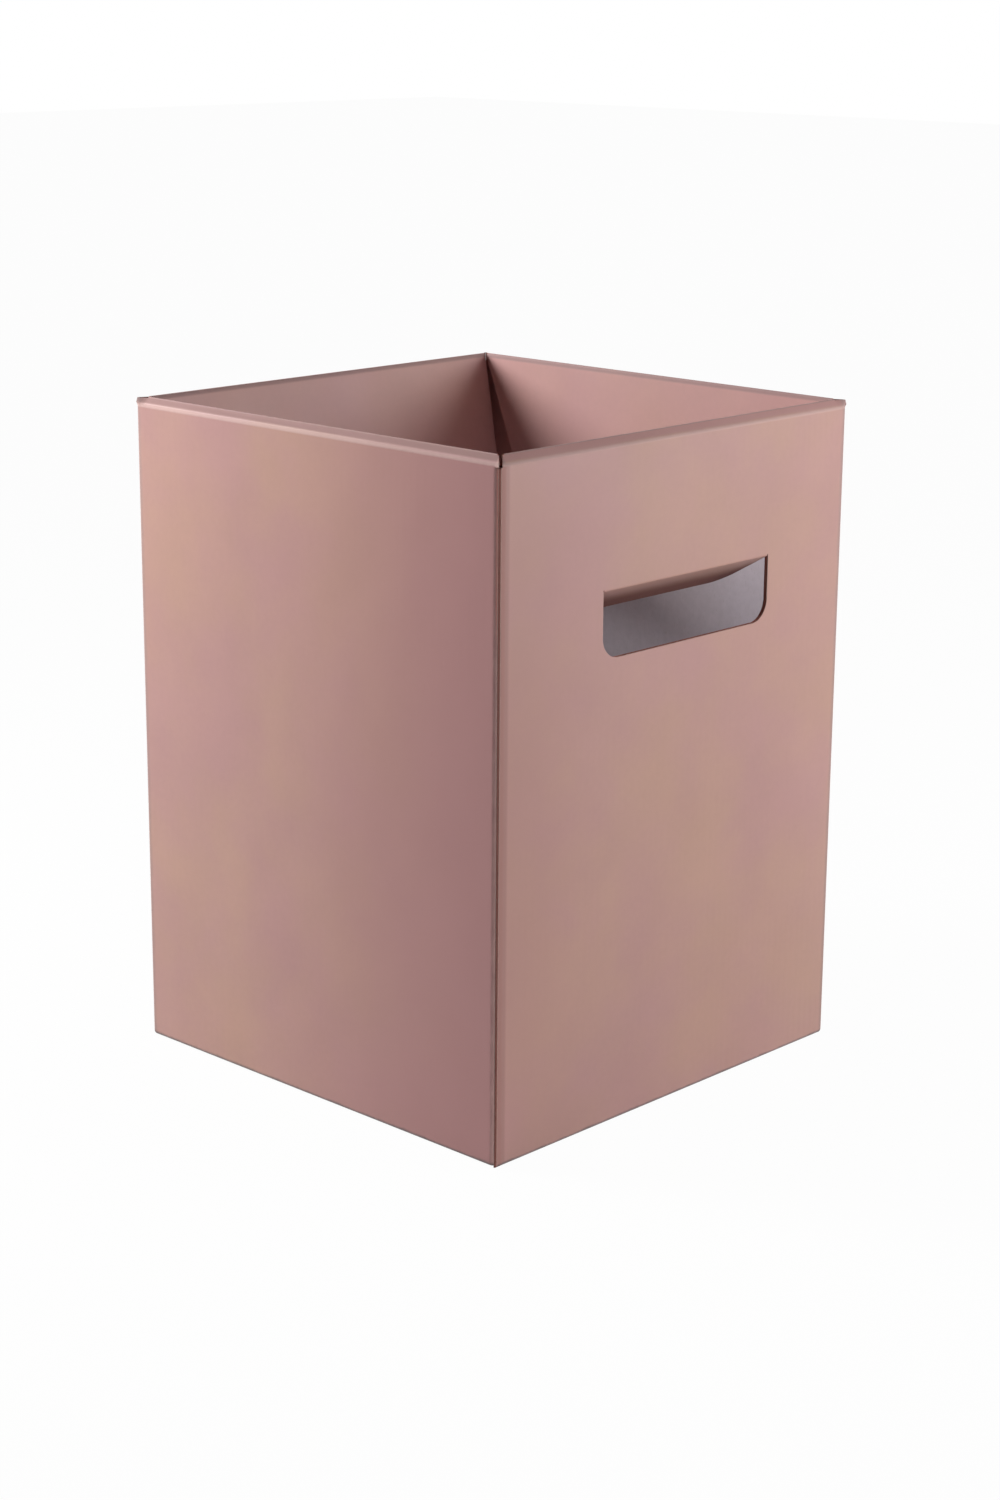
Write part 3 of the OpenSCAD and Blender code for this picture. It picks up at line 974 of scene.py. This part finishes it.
def wall_wear_and_painted_light(sizes, finish):
    """Wear and painted light of the walls and the rim: dull upright folds with painted shade, a painted
    contact shadow at the foot, painted shade towards the seam, pressed strips with a darker copy on the plain
    walls, and a painted highlight on the crease
    """

    def wear_shade_and_light(tree, print_colour, position, sheet):
        folds = use_group(tree, fold_group(), fold_inputs(sizes, position))
        end = 2 * (sizes.width + sizes.depth) - sizes.seam_set
        # Painted shade: the print darkens towards the seam at the near corner
        drift = seam_shade_share(tree, position, sheet[0], end)
        with_painted_shade = blend(tree, drift, print_colour, finish.seam_shade_colour)
        # Strip print, with a darker copy on the plain walls as painted shade
        strips = blend(tree, folds["Plain"], finish.strip_colour, finish.plain_strip_shade)
        worn_and_painted_light = blend(tree, folds["Strip"], with_painted_shade, strips)
        # The seam's fold is stretched print made paler with painted light, the band beside the cut edge gets
        # painted shade, and the other upright folds are dulled print with painted shade
        at_seam = ramp(tree, sheet[0], end - 0.006, end - 0.004)
        cut_side = ramp(tree, sheet[0], 0.0030, 0.0045, 1.0, 0.0)
        fold_shade_and_light = blend(tree, at_seam, finish.fold_shade_colour, finish.seam_fold_lit)
        share = calc(tree, "MULTIPLY_ADD", at_seam, 0.45, 0.5)
        share = times(tree, share, calc(tree, "SUBTRACT", 1.0, cut_side))
        worn_and_painted_light = blend(tree, times(tree, folds["Corner"], share), worn_and_painted_light, fold_shade_and_light)
        # Painted shade on the band beside the front wall's cut edge
        below = times(tree, cut_side, calc(tree, "SUBTRACT", 0.85, folds["Strip"], clamp=True))
        worn_and_painted_light = blend(tree, below, worn_and_painted_light, finish.edge_shade_colour)
        # Painted contact shadow along the foot
        worn_and_painted_light = blend(tree, times(tree, folds["Foot"], 0.85), worn_and_painted_light, finish.foot_shadow_colour)
        # Painted highlight along the rim's lower crease
        worn_and_painted_light = blend(tree, times(tree, folds["Crease"], 0.6), worn_and_painted_light, finish.crease_highlight_colour)
        pressed = times(tree, calc(tree, "MAXIMUM", folds["Strip"], folds["Crease"]), 0.45)
        return worn_and_painted_light, calc(tree, "MULTIPLY_ADD", folds["Corner"], 0.35, pressed, clamp=True)

    return wear_shade_and_light


def hand_flap_shade(sizes, finish):
    """Painted shade on a hand hole's flap: darker towards its free edge"""

    def wear_shade_and_light(tree, print_colour, _position, sheet):
        down = ramp(tree, sheet[1], 0.0, sizes.hole_height * 0.7)
        return blend(tree, down, print_colour, finish.tuck_shade_colour), times(tree, down, 0.3)

    return wear_shade_and_light


def top_rub(finish):
    """Wear of a top flap: a duller line where it is folded"""

    def wear_shade_and_light(tree, print_colour, _position, sheet):
        line = ramp(tree, calc(tree, "ABSOLUTE", sheet[1]), 0.0004, 0.0014, 1.0, 0.0)
        rolled = blend(tree, times(tree, line, 0.55), print_colour, finish.roll_colour)
        return rolled, times(tree, line, 0.3)

    return wear_shade_and_light


def liner_face(sizes, finish):
    """Bare inner paper, with painted shade in the flaps' pink in the narrow corners behind them"""
    material, tree, shader, position, sheet = start_material("Liner Face")
    flutes = use_flutes(tree, position, sheet, finish)
    fibres = use_group(tree, fibre_group(), {"Vector": position})
    tones = {"Vector": position, "Colour": finish.liner_colour, "Drift": finish.liner_drift, "Grain": 0.16}
    mottle = use_group(tree, mottle_group(), tones)
    lined = calc(tree, "MULTIPLY_ADD", flutes["Wave"], 0.018, 0.0, True)
    shaded = blend(tree, lined, mottle["Colour"], finish.flute_shade)
    flecked = blend(tree, times(tree, fibres["Flecks"], 0.22), shaded, finish.fleck_colour)
    # Painted shade in the narrow corners behind the flaps
    nook_shade_mask = use_group(tree, fold_group(), fold_inputs(sizes, position))["Nook"]
    with_painted_shade = blend(tree, times(tree, nook_shade_mask, 0.85), flecked, finish.nook_shade_colour)
    rough = calc(tree, "MULTIPLY_ADD", fibres["Height"], 0.12, 0.80)
    height = calc(tree, "MULTIPLY_ADD", fibres["Height"], 0.00003, times(tree, flutes["Relief"], 0.000022))
    finish_surface(tree, shader, with_painted_shade, rough, height, 0.25)
    return material


def cut_edge(finish):
    """Cut edge of the board, with its fluted core"""
    material, tree, shader, position, sheet = start_material("Cut Edge")
    places = {"Along": sheet[0], "Depth": sheet[2], "Pitch": finish.flute_pitch}
    section = use_group(tree, section_group(), places)
    fibres = use_group(tree, fibre_group(), {"Vector": position})
    paper = blend(tree, section["Liner"], finish.core_colour, finish.edge_colour)
    paper = blend(tree, times(tree, fibres["Flecks"], 0.4), paper, finish.fuzz_colour)
    base = blend(tree, section["Paper"], finish.void_colour, paper)
    rough = calc(tree, "MULTIPLY_ADD", fibres["Height"], 0.1, 0.82)
    height = calc(tree, "MULTIPLY_ADD", fibres["Height"], 0.00006, times(tree, section["Paper"], 0.00030))
    finish_surface(tree, shader, base, rough, height, 0.2)
    return material


def board_materials(slot):
    """The print of this slot's pieces, the liner and the cut edge, made once"""
    scene = bpy.context.scene
    sizes, finish = scene.carton_sizes, scene.carton_finish
    if "Liner Face" not in bpy.data.materials:
        walls, flaps = (finish.print_colour, finish.print_drift), (finish.flap_lit_colour, finish.flap_lit_drift)
        printed_face("Printed Face", *walls, wall_wear_and_painted_light(sizes, finish), finish, 0.5)
        # The top flaps take the lighter copy of the print, painted light
        printed_face("Printed Top Flap", *flaps, top_rub(finish), finish, 0.25)
        printed_face("Printed Hand Flap", *walls, hand_flap_shade(sizes, finish), finish, 0.2)
        liner_face(sizes, finish)
        cut_edge(finish)
    return [bpy.data.materials[name] for name in (PRINTS[slot], "Liner Face", "Cut Edge")]


# Stage

# The floor's width, and how far it lies below the carton
FLOOR_WIDTH, FLOOR_DROP = 12.0, 0.0002

# Places of the lamps, and what they have in common
LAMPS = {"left": (-0.389, 0.556, 0.574), "right": (0.483, -0.576, 0.424), "low": (0.335, -0.718, 0.261)}
WHITE = (1.0, 1.0, 1.0)
LAMP_WIDTH, LAMP_AIM = 0.4, Vector((0, 0, 0.15))

# Azimuth, elevation and roll of the camera in degrees, and its place, from a fit to the photograph
CAMERA_TURN, CAMERA_PLACE = (-46.472, 15.422, 0.412), (-0.752006, -0.719457, 0.402153)


def camera_sees(tree):
    """1 where the camera looks, straight or by a reflection or through glass"""
    path = tree.nodes.new("ShaderNodeLightPath").outputs
    seen = calc(tree, "MAXIMUM", path["Is Camera Ray"], path["Is Glossy Ray"])
    return calc(tree, "MAXIMUM", seen, path["Is Transmission Ray"])


def floor_material(look):
    """Pale floor that keeps a faint shadow and otherwise shows white"""
    material = bpy.data.materials.new("Pale Floor")
    tree = empty_tree(material)
    paint = place(tree, "ShaderNodeBsdfDiffuse", {"Color": look.floor_colour})
    glow = place(tree, "ShaderNodeEmission", {"Color": WHITE, "Strength": 1.0})
    share = times(tree, camera_sees(tree), 0.975)
    mixed = place(tree, "ShaderNodeMixShader", {0: share, 1: paint.outputs[0], 2: glow.outputs[0]})
    place(tree, "ShaderNodeOutputMaterial", {0: mixed.outputs[0]})
    return material


def make_floor(look):
    bm = bmesh.new()
    bmesh.ops.create_grid(bm, x_segments=1, y_segments=1, size=FLOOR_WIDTH / 2)
    bmesh.ops.translate(bm, verts=bm.verts[:], vec=(0, 0, -FLOOR_DROP))
    mesh = to_mesh(bm, "floor")
    mesh.materials.append(floor_material(look))
    show("floor", mesh)


def make_sky(look):
    world = bpy.data.worlds.new("Studio")
    bpy.context.scene.world = world
    tree = empty_tree(world)
    even = place(tree, "ShaderNodeBackground", {"Color": WHITE, "Strength": look.sky})
    white = place(tree, "ShaderNodeBackground", {"Color": WHITE, "Strength": 1.0})
    seen = camera_sees(tree)
    mixed = place(tree, "ShaderNodeMixShader", {0: seen, 1: even.outputs[0], 2: white.outputs[0]})
    place(tree, "ShaderNodeOutputWorld", {0: mixed.outputs[0]})


def make_lamp(name, position, power):
    """A round soft lamp that faces the upper middle of the carton"""
    data = bpy.data.lights.new(name, "AREA")
    data.shape = "DISK"
    data.size = LAMP_WIDTH
    data.energy = power
    lamp = show(name, data)
    lamp.location = position
    lamp.rotation_mode = "QUATERNION"
    lamp.rotation_quaternion = (LAMP_AIM - lamp.location).to_track_quat("-Z", "Y")
    lamp.visible_camera = False


def make_camera(look):
    data = bpy.data.cameras.new("Camera")
    data.lens = look.lens
    data.sensor_width = 36.0
    data.clip_start, data.clip_end = 0.05, 50.0
    camera = show("Camera", data)
    az, el, roll = (math.radians(a) for a in CAMERA_TURN)
    back = Vector((math.sin(az) * math.cos(el), -math.cos(az) * math.cos(el), math.sin(el)))
    right = Vector((math.cos(az), math.sin(az), 0))
    up = back.cross(right)
    across = right * math.cos(roll) + up * math.sin(roll)
    upward = up * math.cos(roll) - right * math.sin(roll)
    turned = Matrix((across, upward, back)).transposed().to_4x4()
    camera.matrix_world = Matrix.Translation(CAMERA_PLACE) @ turned
    bpy.context.scene.camera = camera


class CARTON_OT_walls(Operator):
    """Fold the four walls and the glue tab, with their two hand holes"""

    bl_idname = "carton.walls"
    bl_label = "Carton Walls"

    def execute(self, context):
        build_walls(context.scene.carton_sizes)
        return {"FINISHED"}


class CARTON_OT_rim(Operator):
    """Fold the narrow strips between the rim's two creases"""

    bl_idname = "carton.rim"
    bl_label = "Rolled Rim"

    def execute(self, context):
        build_rim(context.scene.carton_sizes)
        return {"FINISHED"}


class CARTON_OT_base(Operator):
    """Lay the panels of the crash-lock base"""

    bl_idname = "carton.base"
    bl_label = "Crash-Lock Base"

    def execute(self, context):
        build_base(context.scene.carton_sizes)
        return {"FINISHED"}


class CARTON_OT_top_flaps(Operator):
    """Hang the four turned-in top flaps"""

    bl_idname = "carton.top_flaps"
    bl_label = "Top Flaps"

    def execute(self, context):
        for side in TURNS:
            build_top_flap(context.scene.carton_sizes, side)
        return {"FINISHED"}


class CARTON_OT_hand_flaps(Operator):
    """Push in the flaps of the two hand holes"""

    bl_idname = "carton.hand_flaps"
    bl_label = "Hand-Hole Flaps"

    def execute(self, context):
        for side in HOLE_SIDES:
            build_hand_flap(context.scene.carton_sizes, side)
        return {"FINISHED"}


class CARTON_OT_stage(Operator):
    """Set the floor, the light and the camera"""

    bl_idname = "carton.stage"
    bl_label = "Stage"

    def execute(self, context):
        look = context.scene.stage_look
        make_floor(look)
        make_sky(look)
        for name, position in LAMPS.items():
            make_lamp(name + "_lamp", position, getattr(look, name + "_power"))
        make_camera(look)
        context.scene.view_settings.view_transform = "Standard"
        return {"FINISHED"}


OPERATORS = (
    CARTON_OT_walls,
    CARTON_OT_rim,
    CARTON_OT_base,
    CARTON_OT_top_flaps,
    CARTON_OT_hand_flaps,
    CARTON_OT_stage,
)


class CARTON_PT_panel(Panel):
    """Sizes, finish and steps of the carton"""

    bl_idname = "CARTON_PT_panel"
    bl_label = "Open Carton"
    bl_space_type = "VIEW_3D"
    bl_region_type = "UI"
    bl_category = "Carton"

    def draw(self, context):
        layout = self.layout
        for group in (context.scene.carton_sizes, context.scene.carton_finish, context.scene.stage_look):
            box = layout.box()
            for name in group.bl_rna.properties.keys():
                if name not in ("rna_type", "name"):
                    box.prop(group, name)
        for operator in OPERATORS:
            layout.operator(operator.bl_idname)


CLASSES = (CartonSizes, CartonFinish, StageLook, *OPERATORS, CARTON_PT_panel)


def register():
    for cls in CLASSES:
        bpy.utils.register_class(cls)
    bpy.types.Scene.carton_sizes = PointerProperty(type=CartonSizes)
    bpy.types.Scene.carton_finish = PointerProperty(type=CartonFinish)
    bpy.types.Scene.stage_look = PointerProperty(type=StageLook)


def unregister():
    del bpy.types.Scene.stage_look
    del bpy.types.Scene.carton_finish
    del bpy.types.Scene.carton_sizes
    for cls in reversed(CLASSES):
        bpy.utils.unregister_class(cls)


def main():
    register()
    bpy.ops.carton.walls()
    bpy.ops.carton.rim()
    bpy.ops.carton.base()
    bpy.ops.carton.top_flaps()
    bpy.ops.carton.hand_flaps()
    bpy.ops.carton.stage()


if __name__ == "__main__":
    main()
